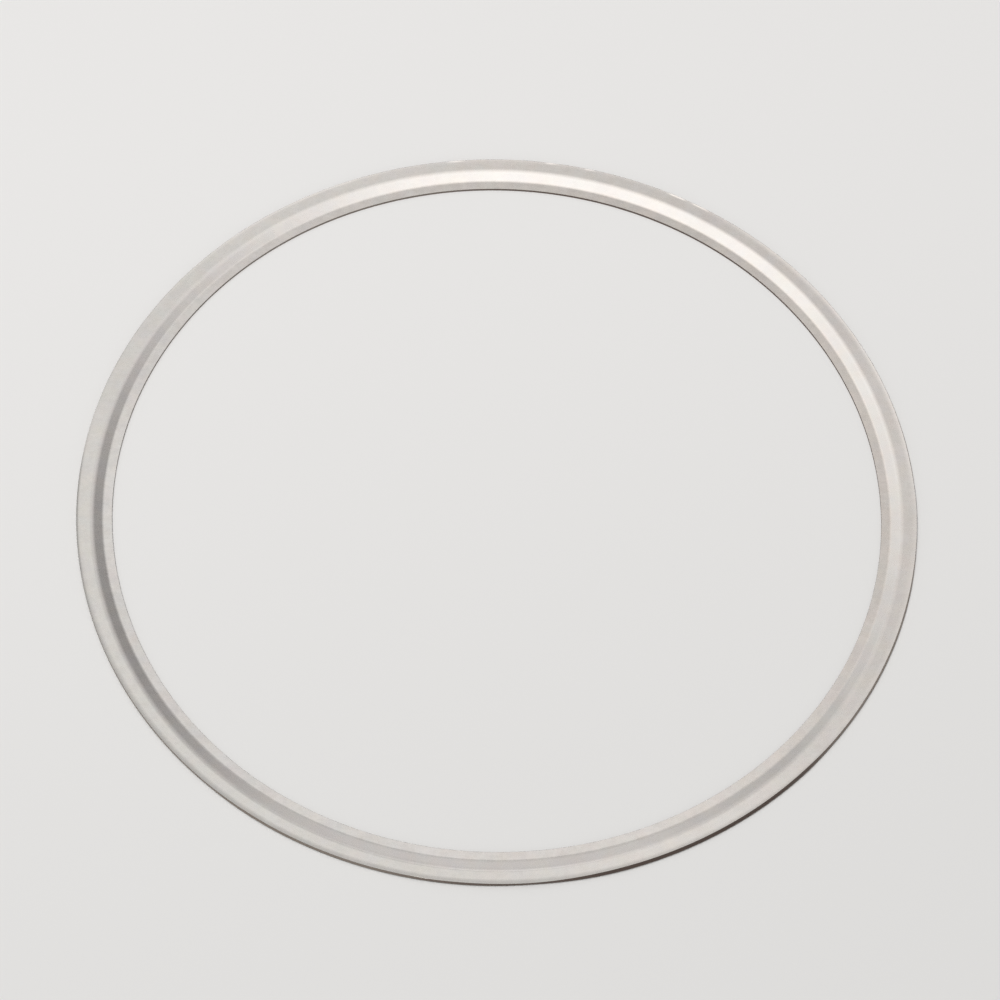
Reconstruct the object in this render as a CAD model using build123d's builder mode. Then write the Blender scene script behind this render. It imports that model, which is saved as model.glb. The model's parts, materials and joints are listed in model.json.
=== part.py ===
from build123d import *
from math import asin, degrees
import os

# Half-bead ring gasket, stamped in one piece from thin stainless sheet. Its axis is Z.
# The narrow inner flange lies on z = 0. A shallow cone outside it, the half bead, lifts
# the wider outer flange, and the die curls the last stretch of the rim up a little more.
# The sheet keeps one thickness all the way, so its two faces are parallel curves, and
# both its edges are blanked, so they stand parallel to the axis.

# Driving sizes, in millimetres
bore_diameter = 109.86
inner_flange_width = 1.37  # from the bore to the middle of the inner bend
bead_width = 1.52  # between the middles of the two bends
outer_flange_width = 1.38  # from the middle of the outer bend to where the curl starts
rim_curl_width = 0.80
bead_height = 0.32  # rise of the outer flange over the inner one
sheet_thickness = 0.40
inner_bend_radius = 1.8  # hollow side of the inner bend, on the upper face
outer_bend_radius = 3.3  # hollow side of the outer bend, on the lower face
rim_curl_radius = 5.3  # hollow side of the curl, on the upper face
edge_break = 0.05  # small chamfer left by deburring on both cut edges
trim_allowance = 0.20  # sheet past the rim that the blanking cut takes off

# Radii of the section's stations, worked out from the sizes above
bore_radius = bore_diameter / 2
inner_bend_station = bore_radius + inner_flange_width
outer_bend_station = inner_bend_station + bead_width
curl_station = outer_bend_station + outer_flange_width
rim_radius = curl_station + rim_curl_width

with BuildPart() as gasket_ring:
    with BuildSketch(Plane.XZ) as section:
        with BuildLine() as lower_face:
            flanges = FilletPolyline(
                (bore_radius, 0),
                (inner_bend_station, 0),
                (outer_bend_station, bead_height),
                (curl_station, bead_height),
                radius=[inner_bend_radius + sheet_thickness, outer_bend_radius],
            )
            JernArc(
                start=flanges @ 1,
                tangent=flanges % 1,
                radius=rim_curl_radius + sheet_thickness,
                arc_size=degrees(asin((rim_curl_width + trim_allowance) / rim_curl_radius)),
            )
            offset(amount=sheet_thickness, side=Side.LEFT)
        make_face()
        split(bisect_by=Plane.YZ.offset(rim_radius), keep=Keep.BOTTOM)
        cut_edges = section.edges().filter_by(Axis.Y)
        chamfer(cut_edges.vertices(), length=edge_break)
    revolve(axis=Axis.Z)

gasket_ring.part.label = "gasket_ring"

os.makedirs("parts", exist_ok=True)
export_step(gasket_ring.part, "parts/gasket_ring.step")
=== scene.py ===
import bpy
import json
from math import cos, pi, radians, sin, tan
from mathutils import Matrix, Vector


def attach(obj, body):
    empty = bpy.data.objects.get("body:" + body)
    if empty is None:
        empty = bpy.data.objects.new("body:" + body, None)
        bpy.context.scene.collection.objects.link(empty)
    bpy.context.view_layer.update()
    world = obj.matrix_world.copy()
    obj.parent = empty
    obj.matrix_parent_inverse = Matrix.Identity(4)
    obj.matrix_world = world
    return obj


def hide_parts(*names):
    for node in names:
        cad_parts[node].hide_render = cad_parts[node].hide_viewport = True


# A half-bead ring gasket of satin stainless sheet, lying on its inner flange on a pale table.
# Lengths are in metres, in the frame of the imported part. Angles are written in degrees, and those
# round the ring run from +X towards +Y.

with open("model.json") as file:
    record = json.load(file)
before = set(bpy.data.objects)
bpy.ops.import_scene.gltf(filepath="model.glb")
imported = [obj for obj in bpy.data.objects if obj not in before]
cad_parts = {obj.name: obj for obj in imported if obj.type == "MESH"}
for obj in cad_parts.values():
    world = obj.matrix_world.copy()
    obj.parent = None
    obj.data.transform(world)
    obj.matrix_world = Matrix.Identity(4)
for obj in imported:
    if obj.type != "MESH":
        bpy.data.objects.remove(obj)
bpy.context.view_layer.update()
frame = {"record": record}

MM = 0.001
MICRON = MM * MM

# ---------------------------------------------------------------- sizes of the ring
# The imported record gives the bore, the rim and the height of the outer flange. The rest are the
# stamping's own sizes.
mounts = {mount["name"]: mount for mount in frame["record"]["mounts"]}
bore_radius = mounts["bore"]["dims"]["r_mm"] * MM
rim_radius = mounts["rim"]["dims"]["r_mm"] * MM
outer_flange_top = mounts["upper_seat"]["pos_m"][2]
sheet_thickness = 0.40 * MM
inner_flange_width = 1.37 * MM
bead_width = 1.52 * MM
rim_curl_width = 0.80 * MM
bead_height = outer_flange_top - sheet_thickness
inner_bend_radius = 1.8 * MM
outer_bend_radius = 3.3 * MM
rim_curl_radius = 5.3 * MM
edge_radius = 0.025 * MM  # all four edges of the two cuts
inner_bend_station = bore_radius + inner_flange_width
outer_bend_station = inner_bend_station + bead_width

# What the press left uneven
pulled_in = 0.086 * MM  # how much smaller the ring sprang, all round
curl_all_round = 0.04  # the share of its curl that the rim has everywhere
lip_width = 0.34 * MM  # the burr that the last cut left at the rim
lip_rise = 0.048 * MM
lip_fades = 1.5  # how fast the burr gives way where the rim is curled up, as a power
cut_slant = 0.13 * MM  # how far a worn die leaned the rim's cut inwards at its top
cut_spread = 0.19 * MM  # and outwards at its foot
cut_lean_starts = 0.4  # the share of the curl's width, from its bend, that neither of them reaches
bead_wander = 0.19 * MM  # how much further out the outer bend lies where the bead runs wide
wander_near, wander_far = 0.3, 0.6  # where that starts to fade and ends, in widths of the bead
wide_bead_lean = 1.9  # how many degrees more the bead leans there

# Stretches of the ring, each written as its angle, the half width of its full part, the width of
# its run-out, and the share that it adds
CURLED_UP = {
    "pressed_harder": (-90.0, 50.0, 45.0, 0.86),
    "pressed_a_little": (28.0, 12.0, 24.0, 0.45),
}
LIP_STANDS = {
    "left_stretch": (-158.0, 20.0, 18.0, 0.95),
    "far_left_stretch": (138.0, 18.0, 16.0, 0.6),
    "far_stretch": (62.0, 36.0, 20.0, 0.12),
    "long_nick": (65.0, 1.0, 0.25, 0.9),
    "short_nick": (61.3, 1.0, 0.4, 0.6),
    "left_nick": (83.8, 0.5, 0.4, 0.6),
    "far_left_nick": (97.3, 0.7, 0.5, 0.6),
    "faint_nick": (78.2, 0.4, 0.4, 0.6),
}
CUT_SLANTS = {
    "worn_and_shaded_stretch": (-60.5, 9.0, 15.0, 1.0),
    "near_right_stretch": (-29.0, 14.0, 16.0, 0.5),
    "near_left_stretch": (-108.0, 12.0, 12.0, 0.4),
    "right_stretch": (22.0, 12.0, 8.0, 0.4),
}
BEAD_RUNS_WIDE = {"far_stretch": (80.0, 22.0, 34.0, 1.0)}
# Painted highlight: the stretch of the bead's near side that is painted brighter, for the light it
# reflects
BEAD_PAINTED_HIGHLIGHT = {"near_stretch": (-88.0, 15.0, 26.0, 1.0)}
# Painted shade: the stretch of the rim's cut that is painted darkest
CUT_SHADED_MOST = {"worn_and_shaded_stretch": (-68.0, 12.0, 28.0, 1.0)}

# The ring was sprung a little out of round: how far outwards, in millimetres, as waves that go
# two to four times round the ring, each with its cosine and sine share
OUT_OF_ROUND_MM = {2: (0.048, -0.010), 3: (0.044, -0.024), 4: (-0.027, -0.021)}

# No part of the sheet is quite true all round: how steeply it leans outwards, in degrees, as a
# steady lean and then waves that go once, twice and more times round the ring, each with its
# cosine and sine share
INNER_FLANGE_LEAN = (-0.1, (-0.617, -0.968), (-0.015, 0.767), (0.173, 0.009), (0.054, 0.499))
BEAD_LEAN = (
    -0.5,
    (-0.37, 0.2),
    (0.27, 0.16),
    (0.38, -0.4),
    (-0.5, 0.78),
    (-0.33, 0.35),
    (0.12, 0.03),
    (0.08, 0.3),
)
OUTER_FLANGE_LEAN = (0.633, (-0.75, 0.174), (-0.294, 0.665), (0.438, 0.14), (0.279, 0.362))


# ---------------------------------------------------------------- writing nodes as expressions
class Term:
    """The output of a node. Arithmetic on it adds Math nodes to its tree."""

    def __init__(self, bench, socket):
        self.bench = bench
        self.socket = socket

    def math(self, operation, *others):
        values = dict(enumerate((self, *others)))
        return self.bench.node("ShaderNodeMath", {"operation": operation}, values)

    def __add__(self, other):
        return self.math("ADD", other)

    def __sub__(self, other):
        return self.math("SUBTRACT", other)

    def __mul__(self, other):
        return self.math("MULTIPLY", other)

    def __truediv__(self, other):
        return self.math("DIVIDE", other)

    def __pow__(self, other):
        return self.math("POWER", other)

    def __neg__(self):
        return self.math("MULTIPLY", -1.0)

    def __radd__(self, other):
        return self.math("ADD", other)

    def __rsub__(self, other):
        return self.math("MULTIPLY_ADD", -1.0, other)

    def __rmul__(self, other):
        return self.math("MULTIPLY", other)

    def __rtruediv__(self, other):
        return self.math("POWER", -1.0) * other


class Bench:
    """A node tree being filled in, and the one way in which it gets its nodes."""

    def __init__(self, tree):
        self.tree = tree

    def node(self, kind, settings=None, sockets=None, out=0):
        made = self.tree.nodes.new(kind)
        for name, value in (settings or {}).items():
            setattr(made, name, value)
        for key, value in (sockets or {}).items():
            self.feed(made.inputs[key], value)
        return Term(self, made.outputs[out]) if len(made.outputs) else None

    def feed(self, socket, value):
        if isinstance(value, Term):
            self.tree.links.new(value.socket, socket)
        else:
            socket.default_value = value


def vector(bench, x, y, z):
    return bench.node("ShaderNodeCombineXYZ", sockets={0: x, 1: y, 2: z})


def split_vector(bench, value):
    return [bench.node("ShaderNodeSeparateXYZ", sockets={0: value}, out=axis) for axis in range(3)]


def vector_math(bench, operation, *values, out=0):
    settings = {"operation": operation}
    return bench.node("ShaderNodeVectorMath", settings, dict(enumerate(values)), out=out)


def ramp(bench, value, low, high, to_low=0.0, to_high=1.0):
    """Runs smoothly from to_low to to_high while value goes from low to high."""
    sockets = {
        "Value": value,
        "From Min": low,
        "From Max": high,
        "To Min": to_low,
        "To Max": to_high,
    }
    return bench.node("ShaderNodeMapRange", {"interpolation_type": "SMOOTHSTEP"}, sockets)


# ---------------------------------------------------------------- places on the ring
def out_and_round(x, y):
    """How far out a place is, and the X and Y of its direction, which has a length of 1."""
    reach = (x * x + y * y).math("SQRT")
    return reach, x / reach, y / reach


def towards(angle, x, y):
    """How far (x, y) lies in the direction of an angle round the ring."""
    return x * cos(radians(angle)) + y * sin(radians(angle))


def share_at(bench, along_x, along_y, stretches, share=0.0):
    """A share of something round the ring, with what each of these stretches adds to it."""
    for angle, half_width, run_out, added in stretches.values():
        far, near = cos(radians(half_width + run_out)), cos(radians(half_width))
        share = share + ramp(bench, towards(angle, along_x, along_y), far, near, 0.0, added)
    return share.math("MINIMUM", 1.0)


def waves_round(along_x, along_y, count):
    """The cosine and the sine of once, twice and up to count times the angle round the ring."""
    turns = [(along_x, along_y)]
    while len(turns) < count:
        x, y = turns[-1]
        turns.append((x * along_x - y * along_y, y * along_x + x * along_y))
    return turns


# ---------------------------------------------------------------- the ring's shape
RING_SIZES = {
    "Bore Radius": bore_radius,
    "Inner Flange Width": inner_flange_width,
    "Bead Width": bead_width,
    "Rim Radius": rim_radius,
    "Rim Curl Width": rim_curl_width,
    "Rim Curl Radius": rim_curl_radius,
    "Bead Height": bead_height,
    "Sheet Thickness": sheet_thickness,
    "Inner Bend Radius": inner_bend_radius,
    "Outer Bend Radius": outer_bend_radius,
    "Edge Radius": edge_radius,
    "Curl All Round": curl_all_round,
    "Lip Width": lip_width,
    "Lip Rise": lip_rise,
    "Cut Slant": cut_slant,
    "Cut Spread": cut_spread,
    "Pulled In": pulled_in,
    "Bead Wander": bead_wander,
}
RING_COUNTS = {"Steps Round The Ring": 1080, "Steps In A Bend": 8}
narrow_face = 0.1 * MM * MM  # only faces in a bend or on an edge are smaller than this


def pick_by_index(bench, kind, choices):
    """A field that gives the first point the first choice, the next one the second, and so on."""
    switch = bench.node("GeometryNodeIndexSwitch", {"data_type": kind}).socket.node
    while len(switch.index_switch_items) < len(choices):
        switch.index_switch_items.new()
    bench.feed(switch.inputs["Index"], bench.node("GeometryNodeInputIndex"))
    for place, choice in enumerate(choices, start=1):
        bench.feed(switch.inputs[place], choice)
    return Term(bench, switch.outputs[0])


def section_corners(size):
    """Each corner of the bent sheet's section: how far out, how high, and its rounding radius."""
    sheet = size["Sheet Thickness"]
    lift = size["Bead Height"]
    curl = size["Rim Curl Radius"]
    edge = size["Edge Radius"]
    inner_bend = size["Inner Flange Width"]
    outer_bend = inner_bend + size["Bead Width"]
    rim = size["Rim Radius"] - size["Bore Radius"]
    slope = (lift / size["Bead Width"]).math("ARCTANGENT")
    curl_turn = ((size["Rim Curl Width"] - edge) / (curl + sheet)).math("ARCSINE")
    curl_start = rim - size["Rim Curl Width"]
    half_turn = (curl_turn * 0.5).math("TANGENT")
    rise = curl_turn.math("TANGENT")
    low_curl = curl_start + (curl + sheet) * half_turn
    high_curl = curl_start + curl * half_turn
    lean = sheet * (slope * 0.5).math("TANGENT")
    return [
        (0.0, 0.0, edge),
        (inner_bend, 0.0, size["Inner Bend Radius"] + sheet),
        (outer_bend, lift, size["Outer Bend Radius"]),
        (low_curl, lift, curl + sheet),
        (rim, lift + (rim - low_curl) * rise, edge),
        (rim, lift + sheet + (rim - high_curl) * rise, edge),
        (high_curl, lift + sheet, curl),
        (outer_bend - lean, lift + sheet, size["Outer Bend Radius"] + sheet),
        (inner_bend - lean, sheet, size["Inner Bend Radius"]),
        (0.0, sheet, edge),
    ]


def bent_section(bench, size):
    """The closed outline of the bent sheet, with its bends and its edges rounded."""
    # A level circle carries a profile with its Y axis down, so the heights are turned over
    corners = section_corners(size)
    places = [vector(bench, out, -height, 0.0) for out, height, _ in corners]
    points = bench.node(
        "GeometryNodePoints",
        sockets={"Count": len(corners), "Position": pick_by_index(bench, "VECTOR", places)},
    )
    outline = bench.node("GeometryNodePointsToCurves", sockets={"Points": points})
    outline = bench.node(
        "GeometryNodeSetSplineCyclic", sockets={"Geometry": outline, "Cyclic": True}
    )
    return bench.node(
        "GeometryNodeFilletCurve",
        {"mode": "POLY"},
        {
            "Curve": outline,
            "Count": size["Steps In A Bend"],
            "Radius": pick_by_index(bench, "FLOAT", [radius for _, _, radius in corners]),
            "Limit Radius": True,
        },
    )


def lean_of_cut(bench, size, along, height, into_curl):
    """How far out the worn die pushed the rim, at this height above the foot of its cut."""
    up_the_cut = (height / size["Sheet Thickness"]).math("MAXIMUM", 0.0).math("MINIMUM", 1.0)
    lean = size["Cut Spread"] * (1.0 - up_the_cut) - size["Cut Slant"] * up_the_cut
    curl_width = size["Rim Curl Width"]
    lean = lean * ramp(bench, into_curl, curl_width * cut_lean_starts, curl_width)
    return lean * share_at(bench, *along, CUT_SLANTS)


def wander_of_bead(bench, size, along, reach):
    """How far out the outer bend, and what is near it, lies where the bead runs wide."""
    bend = size["Bore Radius"] + size["Inner Flange Width"] + size["Bead Width"]
    from_bend = (reach - bend).math("ABSOLUTE")
    near, far = size["Bead Width"] * wander_near, size["Bead Width"] * wander_far
    near_bend = ramp(bench, from_bend, near, far, 1.0, 0.0)
    return size["Bead Wander"] * near_bend * share_at(bench, *along, BEAD_RUNS_WIDE)


def sprung_out_of_round(along, outwards):
    """Adds to outwards how far the ring sprang out of round."""
    turns = waves_round(*along, max(OUT_OF_ROUND_MM))
    for waves, (cosine, sine) in OUT_OF_ROUND_MM.items():
        turn_x, turn_y = turns[waves - 1]
        outwards = outwards + turn_x * (cosine * MM) + turn_y * (sine * MM)
    return outwards


def make_uneven(bench, size, ring):
    """Gives the true ring its spring out of round, its burr, and its uneven curl, cut and bead."""
    x, y, z = split_vector(bench, bench.node("GeometryNodeInputPosition"))
    reach, *along = out_and_round(x, y)

    into_curl = (reach - (size["Rim Radius"] - size["Rim Curl Width"])).math("MAXIMUM", 0.0)
    radius = size["Rim Curl Radius"] + size["Sheet Thickness"]
    rise = radius - (radius * radius - into_curl * into_curl).math("SQRT")
    curled = share_at(bench, *along, CURLED_UP, size["Curl All Round"])
    drop = rise * (1.0 - curled)

    into_lip = (1.0 - (size["Rim Radius"] - reach) / size["Lip Width"]).math("MAXIMUM", 0.0)
    stands = share_at(bench, *along, LIP_STANDS) * (1.0 - curled) ** lip_fades
    lip = size["Lip Rise"] * into_lip * into_lip * stands

    lean = lean_of_cut(bench, size, along, z - size["Bead Height"] - rise, into_curl)
    wander = wander_of_bead(bench, size, along, reach)
    outwards = sprung_out_of_round(along, lean + wander - size["Pulled In"])
    along_x, along_y = along
    moved = vector(bench, along_x * outwards, along_y * outwards, lip - drop)
    return bench.node("GeometryNodeSetPosition", sockets={"Geometry": ring, "Offset": moved})


def ring_tree(finish):
    """The section of the bent sheet, carried once round the bore."""
    tree = bpy.data.node_groups.new("half_bead_ring", "GeometryNodeTree")
    for name in RING_SIZES:
        tree.interface.new_socket(name, in_out="INPUT", socket_type="NodeSocketFloat")
    for name in RING_COUNTS:
        tree.interface.new_socket(name, in_out="INPUT", socket_type="NodeSocketInt")
    tree.interface.new_socket("Geometry", in_out="OUTPUT", socket_type="NodeSocketGeometry")
    bench = Bench(tree)
    given = bench.node("NodeGroupInput").socket.node
    size = {name: Term(bench, given.outputs[name]) for name in (*RING_SIZES, *RING_COUNTS)}

    circle = bench.node(
        "GeometryNodeCurvePrimitiveCircle",
        sockets={"Resolution": size["Steps Round The Ring"], "Radius": size["Bore Radius"]},
    )
    ring = bench.node(
        "GeometryNodeCurveToMesh",
        sockets={"Curve": circle, "Profile Curve": bent_section(bench, size)},
    )
    # The section was turned over, so its faces point inwards until they are flipped
    ring = bench.node("GeometryNodeFlipFaces", sockets={"Mesh": ring})

    # The flanges and the bead are straight, so only the narrow faces between them are smooth
    narrow = bench.node("GeometryNodeInputMeshFaceArea").math("LESS_THAN", narrow_face)
    ring = bench.node(
        "GeometryNodeSetShadeSmooth", sockets={0: ring, "Selection": True, "Shade Smooth": narrow}
    )
    ring = make_uneven(bench, size, ring)
    ring = bench.node("GeometryNodeRealizeInstances", sockets={0: ring})
    ring = bench.node("GeometryNodeSetMaterial", sockets={0: ring, "Material": finish})
    bench.node("NodeGroupOutput", sockets={"Geometry": ring})
    return tree


def grow(name, tree, values):
    """Runs a tree with these values for its named inputs, and keeps the plain mesh it gives."""
    carrier = bpy.data.objects.new(name + "_carrier", bpy.data.meshes.new(name + "_carrier"))
    bpy.context.scene.collection.objects.link(carrier)
    modifier = carrier.modifiers.new("shape", "NODES")
    modifier.node_group = tree
    for socket in tree.interface.items_tree:
        if socket.in_out == "INPUT" and socket.name in values:
            modifier[socket.identifier] = values[socket.name]
    evaluated = carrier.evaluated_get(bpy.context.evaluated_depsgraph_get())
    mesh = bpy.data.meshes.new_from_object(evaluated)
    carrier.modifiers.remove(modifier)
    bpy.data.objects.remove(carrier)
    mesh.name = name
    piece = bpy.data.objects.new(name, mesh)
    bpy.context.scene.collection.objects.link(piece)
    return piece


# ---------------------------------------------------------------- helpers for finishes
MIX_FACTOR, MIX_A, MIX_B, MIX_OUT = 0, 6, 7, 2  # places of a Mix node's colour sockets


def new_material(name):
    material = bpy.data.materials.new(name)
    material.use_nodes = True
    material.node_tree.nodes.clear()
    return material, Bench(material.node_tree)


def finish_with(bench, sockets):
    """Ends a material in one Principled shader."""
    shader = bench.node("ShaderNodeBsdfPrincipled", sockets=sockets)
    bench.node("ShaderNodeOutputMaterial", sockets={"Surface": shader})


def blend(bench, factor, first, second, kind="MIX"):
    settings = {"data_type": "RGBA", "blend_type": kind}
    sockets = {MIX_FACTOR: factor, MIX_A: first, MIX_B: second}
    return bench.node("ShaderNodeMix", settings, sockets, out=MIX_OUT)


def noise(bench, where, waves, detail, roughness):
    """Smooth noise between -0.5 and 0.5, with this many waves to a unit of where."""
    sockets = {"Vector": where, "Scale": waves, "Detail": detail, "Roughness": roughness}
    return bench.node("ShaderNodeTexNoise", sockets=sockets) - 0.5


def turned(bench, where, angle, stretch):
    """Turns a pattern about Z and stretches it along its own X axis."""
    settings = {"vector_type": "POINT"}
    turn, scale = (0.0, 0.0, radians(angle)), (1.0 / stretch, 1.0, 1.0)
    sockets = {"Vector": where, "Rotation": turn, "Scale": scale}
    return bench.node("ShaderNodeMapping", settings, sockets)


# ---------------------------------------------------------------- satin stainless sheet
# Between which radii the bead's finish sets in and ends, and the outer flange's sets in
BEAD_STARTS = (inner_bend_station - 0.10 * MM, inner_bend_station + 0.15 * MM)
BEAD_ENDS = (outer_bend_station - 0.25 * MM, outer_bend_station + 0.15 * MM)
OUTER_FLANGE_STARTS = (outer_bend_station - 0.25 * MM, outer_bend_station + 0.25 * MM)

# Between which slopes of a face a cut's finish gives way to the sheet's, from 0 for an upright
# face to 1 for a level one: past the cut's rounded edges, and short of the bead's steepest part
CUT_ENDS = (0.93, 0.97)

# How much weaker the uneven finish is where the die pressed the sheet
bead_smoother = 0.45
outer_flange_smoother = 0.3

# How much each pattern of the uneven finish changes the steel's brightness and its roughness, and
# how far it raises the steel, in microns
BRIGHTENS = {"speckle": 0.15, "grain": 0.08, "mottle": 0.20}
ROUGHENS = {"grain": 0.06, "speckle": 0.05, "mottle": 0.07}
RAISES = {"speckle": 0.15, "grain": 0.10, "mottle": 0.45}
cloud_brightens = 0.10
warmth_tints = 0.08  # more red and less blue
greenness_tints = 0.06
steel_roughness = 0.274
cut_roughness = 0.55

# Where in the noise the two tints lie, in millimetres, so that they don't follow the mottle, and
# the grain's direction and how long it is for its width
WARMTH_FROM = (37.0, 11.0, 5.0)
GREENNESS_FROM = (-23.0, 51.0, 9.0)
grain_turn, grain_stretch = 24.0, 9.0

# Colours of the steel on its near left side and on its far right side, which run into each other
# from this far on one side of the middle to as far on the other. The warm grey is the steel's own;
# the warmer tint of the far right side is painted light, the warmer light which that side reflects.
INNER_FLANGE_STEEL_AND_LIGHT = ((0.740, 0.708, 0.679, 1.0), (0.768, 0.711, 0.662, 1.0))
OUTER_FLANGE_STEEL_AND_LIGHT = ((0.737, 0.709, 0.671, 1.0), (0.764, 0.716, 0.677, 1.0))
BEAD_STEEL_AND_LIGHT = ((0.753, 0.710, 0.681, 1.0), (0.756, 0.719, 0.683, 1.0))
painted_warmth_towards = 25.0
painted_warmth_over = 60 * MM
painted_highlight_brighter = 0.07  # painted highlight: how much brighter a stretch of the bead's near side is painted

# Dull browns of the two cuts. Their darker parts are painted shade, the shade at their feet where
# the ring stands off the table: the rim's along a stretch of its near right side, and the bore's
# past a line across the ring.
SHADED_CUT = (0.165, 0.128, 0.111, 1.0)
RIM_CUT = (0.33, 0.285, 0.25, 1.0)
BORE_CUT = (0.24, 0.207, 0.183, 1.0)
bore_shade_towards = -5.0
BORE_SHADE_SETS_IN = (-30 * MM, 10 * MM)


class SheetSpot:
    """Where a point of the finished sheet lies: on which band, and whether on a cut."""

    def __init__(self, bench, place):
        normal = bench.node("ShaderNodeTexCoord", out="Normal")
        level = split_vector(bench, normal)[2].math("ABSOLUTE")
        self.x, self.y, _ = split_vector(bench, place)
        self.reach, *self.along = out_and_round(self.x, self.y)
        self.cut = ramp(bench, level, *CUT_ENDS, 1.0, 0.0)
        past_inner_bend = ramp(bench, self.reach, *BEAD_STARTS)
        self.bead = past_inner_bend * ramp(bench, self.reach, *BEAD_ENDS, 1.0, 0.0)
        self.outer_flange = ramp(bench, self.reach, *OUTER_FLANGE_STARTS)


def rolled_patterns(bench, place):
    """The patterns that rolling and handling left in the sheet."""
    scaled = {0: place, "Scale": 1.0 / MM}
    in_mm = bench.node("ShaderNodeVectorMath", {"operation": "SCALE"}, scaled)
    warm_place = vector_math(bench, "ADD", in_mm, WARMTH_FROM)
    green_place = vector_math(bench, "ADD", in_mm, GREENNESS_FROM)
    grain_place = turned(bench, in_mm, grain_turn, grain_stretch)
    return {
        "speckle": noise(bench, in_mm, waves=1.5, detail=2.0, roughness=0.6),
        "mottle": noise(bench, in_mm, waves=0.5, detail=3.0, roughness=0.6),
        "cloud": noise(bench, in_mm, waves=0.11, detail=2.0, roughness=0.5),
        "warmth": noise(bench, warm_place, waves=0.35, detail=3.0, roughness=0.6),
        "greenness": noise(bench, green_place, waves=0.3, detail=3.0, roughness=0.6),
        "grain": noise(bench, grain_place, waves=3.0, detail=2.0, roughness=0.6),
    }


def added_up(patterns, strengths):
    return sum((patterns[name] * strength for name, strength in strengths.items()), 0.0)


def steel_colour(bench, spot, patterns, texture):
    """Warm grey steel, a little different on each band, with painted warm light on its far right
    side and a painted highlight on the bead's near side.
    """
    # Painted light: the far right side is tinted warmer for the light it reflects
    side = towards(painted_warmth_towards, spot.x, spot.y)
    aside = ramp(bench, side, -painted_warmth_over, painted_warmth_over)
    inner_flange = blend(bench, aside, *INNER_FLANGE_STEEL_AND_LIGHT)
    outer_flange = blend(bench, aside, *OUTER_FLANGE_STEEL_AND_LIGHT)
    flanges = blend(bench, spot.outer_flange, inner_flange, outer_flange)
    metal = blend(bench, spot.bead, flanges, blend(bench, aside, *BEAD_STEEL_AND_LIGHT))

    # Painted highlight: the bead is painted brighter along a stretch of its near side
    painted_highlight = spot.bead * share_at(bench, *spot.along, BEAD_PAINTED_HIGHLIGHT)
    shade = (
        1.0
        + painted_highlight * painted_highlight_brighter
        + added_up(patterns, BRIGHTENS) * texture
        + patterns["cloud"] * cloud_brightens
    )
    warmer = patterns["warmth"] * warmth_tints
    greener = patterns["greenness"] * greenness_tints
    uneven = vector(bench, shade + warmer, shade + greener, shade - warmer)
    return blend(bench, 1.0, metal, uneven, "MULTIPLY")


def cut_colour(bench, spot):
    """Dull brown, with painted shade along a part of each cut."""
    # Painted shade: the bore's cut darkens past a line across the ring, and the rim's along a
    # stretch of its near right side
    bore_side = towards(bore_shade_towards, spot.x, spot.y)
    bore_cut = blend(bench, ramp(bench, bore_side, *BORE_SHADE_SETS_IN), BORE_CUT, SHADED_CUT)
    rim_cut = blend(bench, share_at(bench, *spot.along, CUT_SHADED_MOST), RIM_CUT, SHADED_CUT)
    return blend(bench, spot.outer_flange, bore_cut, rim_cut)


def lean_of_sheet(bench, spot):
    """The height of the leaning sheet over a true one, in metres."""
    turns = waves_round(*spot.along, len(BEAD_LEAN) - 1)

    def slope(lean, more=0.0):
        """How far a band rises for each metre outwards, from its lean in degrees."""
        steady, *waves = lean
        rise = tan(radians(steady)) + more
        for (turn_x, turn_y), (cosine, sine) in zip(turns, waves):
            rise = rise + turn_x * tan(radians(cosine)) + turn_y * tan(radians(sine))
        return rise

    past_inner_bend = spot.reach - inner_bend_station
    past_outer_bend = spot.reach - outer_bend_station
    across_inner_flange = past_inner_bend.math("MINIMUM", 0.0)
    across_bead = past_inner_bend.math("MAXIMUM", 0.0).math("MINIMUM", bead_width)
    across_outer_flange = past_outer_bend.math("MAXIMUM", 0.0)
    more_where_wide = share_at(bench, *spot.along, BEAD_RUNS_WIDE) * tan(radians(wide_bead_lean))
    return (
        across_inner_flange * slope(INNER_FLANGE_LEAN)
        + across_bead * slope(BEAD_LEAN, more_where_wide)
        + across_outer_flange * slope(OUTER_FLANGE_LEAN)
    )


def satin_stainless():
    """Rolled stainless sheet, smoother where the die pressed it, with dull brown cuts."""
    material, bench = new_material("satin_stainless")
    place = bench.node("ShaderNodeTexCoord", out="Object")
    spot = SheetSpot(bench, place)
    patterns = rolled_patterns(bench, place)
    texture = 1.0 - spot.bead * bead_smoother - spot.outer_flange * outer_flange_smoother
    uncut = 1.0 - spot.cut

    steel = steel_colour(bench, spot, patterns, texture)
    roughness = steel_roughness + added_up(patterns, ROUGHENS) * texture
    height = added_up(patterns, RAISES) * MICRON * texture + lean_of_sheet(bench, spot)
    sockets = {"Strength": 1.0, "Distance": 1.0, "Height": height * uncut}
    finish = {
        "Base Color": blend(bench, spot.cut, steel, cut_colour(bench, spot)),
        "Metallic": 1.0,
        "Roughness": roughness * uncut + spot.cut * cut_roughness,
        "Normal": bench.node("ShaderNodeBump", sockets=sockets),
    }
    finish_with(bench, finish)
    return material


# ---------------------------------------------------------------- the ring
gasket = grow("gasket", ring_tree(satin_stainless()), {**RING_SIZES, **RING_COUNTS})
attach(gasket, "root")
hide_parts("gasket_ring")


# ---------------------------------------------------------------- the table
table_side = 6.0
# The card runs from a darker to a paler tone, a painted fall-off of light across the table
CARD_WITH_PAINTED_LIGHT = ((0.758, 0.750, 0.737, 1.0), (0.914, 0.901, 0.887, 1.0))
card_roughness = 0.9
card_painted_light_towards = 98.0
card_painted_light_over = 120 * MM


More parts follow.
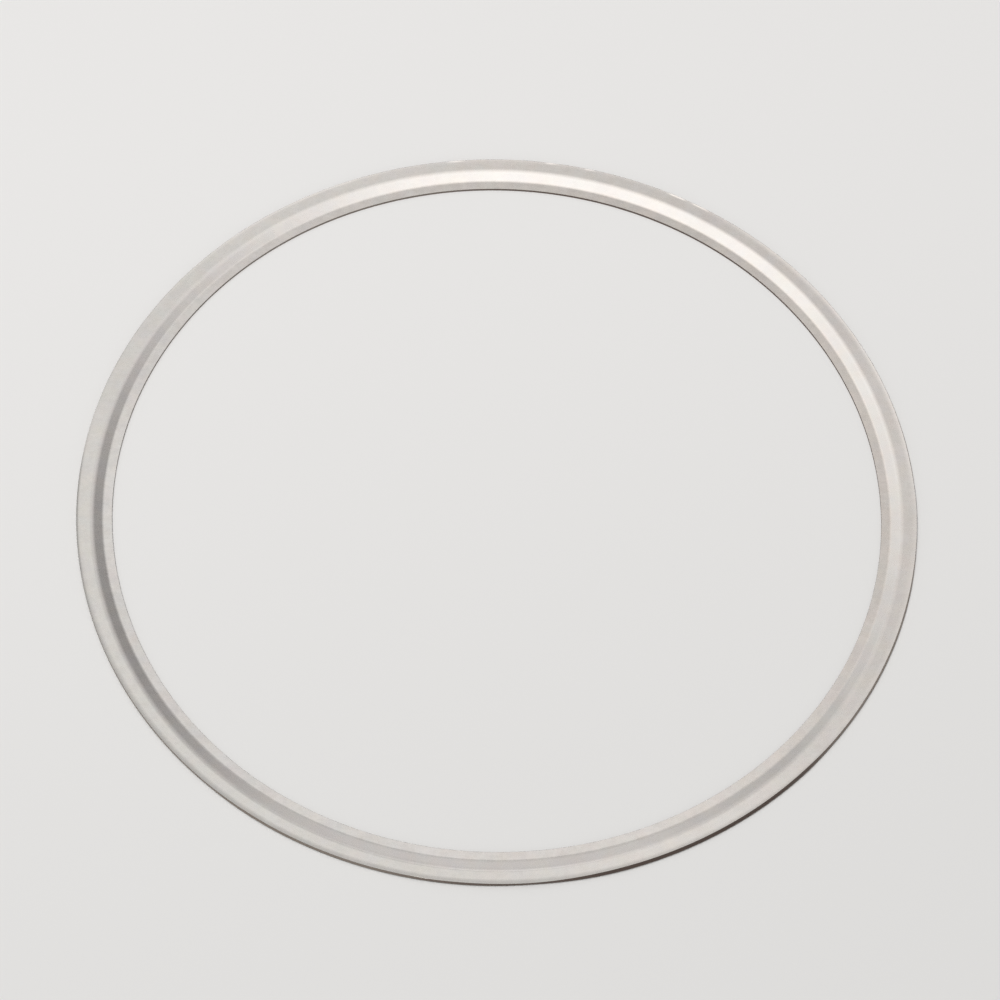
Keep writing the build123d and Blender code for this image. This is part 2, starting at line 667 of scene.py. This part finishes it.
def pale_card():
    """Matt pale card, with painted light: it falls off towards the table's near side."""
    material, bench = new_material("pale_table")
    x, y, _ = split_vector(bench, bench.node("ShaderNodeTexCoord", out="Object"))
    run = towards(card_painted_light_towards, x, y)
    brighter = ramp(bench, run, -card_painted_light_over, card_painted_light_over)
    finish = {
        "Base Color": blend(bench, brighter, *CARD_WITH_PAINTED_LIGHT),
        "Roughness": card_roughness,
        "Specular IOR Level": 0.0,
    }
    finish_with(bench, finish)
    return material


def lay_table():
    half = table_side / 2
    corners = [(-half, -half, 0), (half, -half, 0), (half, half, 0), (-half, half, 0)]
    mesh = bpy.data.meshes.new("table")
    mesh.from_pydata(corners, [], [(0, 1, 2, 3)])
    mesh.materials.append(pale_card())
    table = bpy.data.objects.new("table", mesh)
    bpy.context.scene.collection.objects.link(table)
    return table


table = lay_table()


# ---------------------------------------------------------------- light
softbox_centre = (-0.144, -0.352, 1.192)
softbox_diameter = 0.394
softbox_radiance = 24.2

# The room round the table: its level, how that rises along X, Y and Z, the least that is left of
# it, and the soft lights and dark screens in it, each with azimuth, elevation, width and
# brightness
ROOM_LEVEL = 0.239
ROOM_GRADIENT = (0.03, -0.098, -0.011)
ROOM_DARKEST = 0.02
ROOM_LIGHTS = {
    "low_back_light": (2.0, 35.2, 10.1, 0.799),
    "back_light": (-7.7, 62.3, 22.0, 0.482),
    "left_back_light": (-30.8, 60.8, 14.6, 0.654),
    "overhead_light": (4.0, 85.0, 17.5, 0.997),
    "right_screen": (58.0, 42.7, 19.4, -0.586),
    "back_screen": (-7.6, 57.0, 7.3, -0.379),
}


def hang_softbox():
    """A round lamp that hangs level and shines straight down with an even brightness."""
    lamp = bpy.data.lights.new("overhead_softbox", "AREA")
    lamp.shape = "DISK"
    lamp.size = softbox_diameter
    lamp.energy = softbox_radiance * pi * pi * softbox_diameter**2 / 4
    holder = bpy.data.objects.new("overhead_softbox", lamp)
    holder.location = softbox_centre
    bpy.context.scene.collection.objects.link(holder)


def direction(azimuth, elevation):
    """A unit vector: azimuth runs from +Y towards +X, and elevation up from the table."""
    across, up = radians(azimuth), radians(elevation)
    return Vector((sin(across) * cos(up), cos(across) * cos(up), sin(up)))


def light_room():
    world = bpy.data.worlds.new("studio")
    bpy.context.scene.world = world
    world.use_nodes = True
    world.node_tree.nodes.clear()
    bench = Bench(world.node_tree)
    way = bench.node("ShaderNodeTexCoord")
    level = vector_math(bench, "DOT_PRODUCT", way, ROOM_GRADIENT, out="Value") + ROOM_LEVEL
    for azimuth, elevation, width, brightness in ROOM_LIGHTS.values():
        centre = direction(azimuth, elevation)
        nearness = vector_math(bench, "DOT_PRODUCT", way, centre, out="Value")
        fade = ((nearness - 1.0) / (1.0 - cos(radians(width)))).math("EXPONENT")
        level = level + fade * brightness
    level = level.math("MAXIMUM", ROOM_DARKEST)
    white = (1.0, 1.0, 1.0, 1.0)
    background = bench.node("ShaderNodeBackground", sockets={"Color": white, "Strength": level})
    bench.node("ShaderNodeOutputWorld", sockets={"Surface": background})


hang_softbox()
light_room()
bpy.context.scene.view_settings.view_transform = "Standard"


# ---------------------------------------------------------------- camera
camera_distance = 0.72
camera_elevation = radians(59.53)
camera_roll = radians(1.76)
camera_aim = Vector((0.42 * MM, 1.33 * MM, 0.4 * MM))
sensor_width_mm = 36.0
lens_pull = 5.0402  # focal length over the sensor's width
nearest_seen, farthest_seen = 0.01, 20.0


def set_up_camera():
    lens = bpy.data.cameras.new("camera")
    lens.sensor_width = sensor_width_mm
    lens.lens = lens_pull * sensor_width_mm
    lens.clip_start = nearest_seen
    lens.clip_end = farthest_seen
    camera = bpy.data.objects.new("camera", lens)
    back = Vector((0.0, -cos(camera_elevation), sin(camera_elevation)))
    camera.location = camera_aim + back * camera_distance
    looking = (-back).to_track_quat("-Z", "Y").to_matrix()
    camera.rotation_euler = (looking @ Matrix.Rotation(camera_roll, 3, "Z")).to_euler()
    bpy.context.scene.collection.objects.link(camera)
    return camera


bpy.context.scene.camera = set_up_camera()
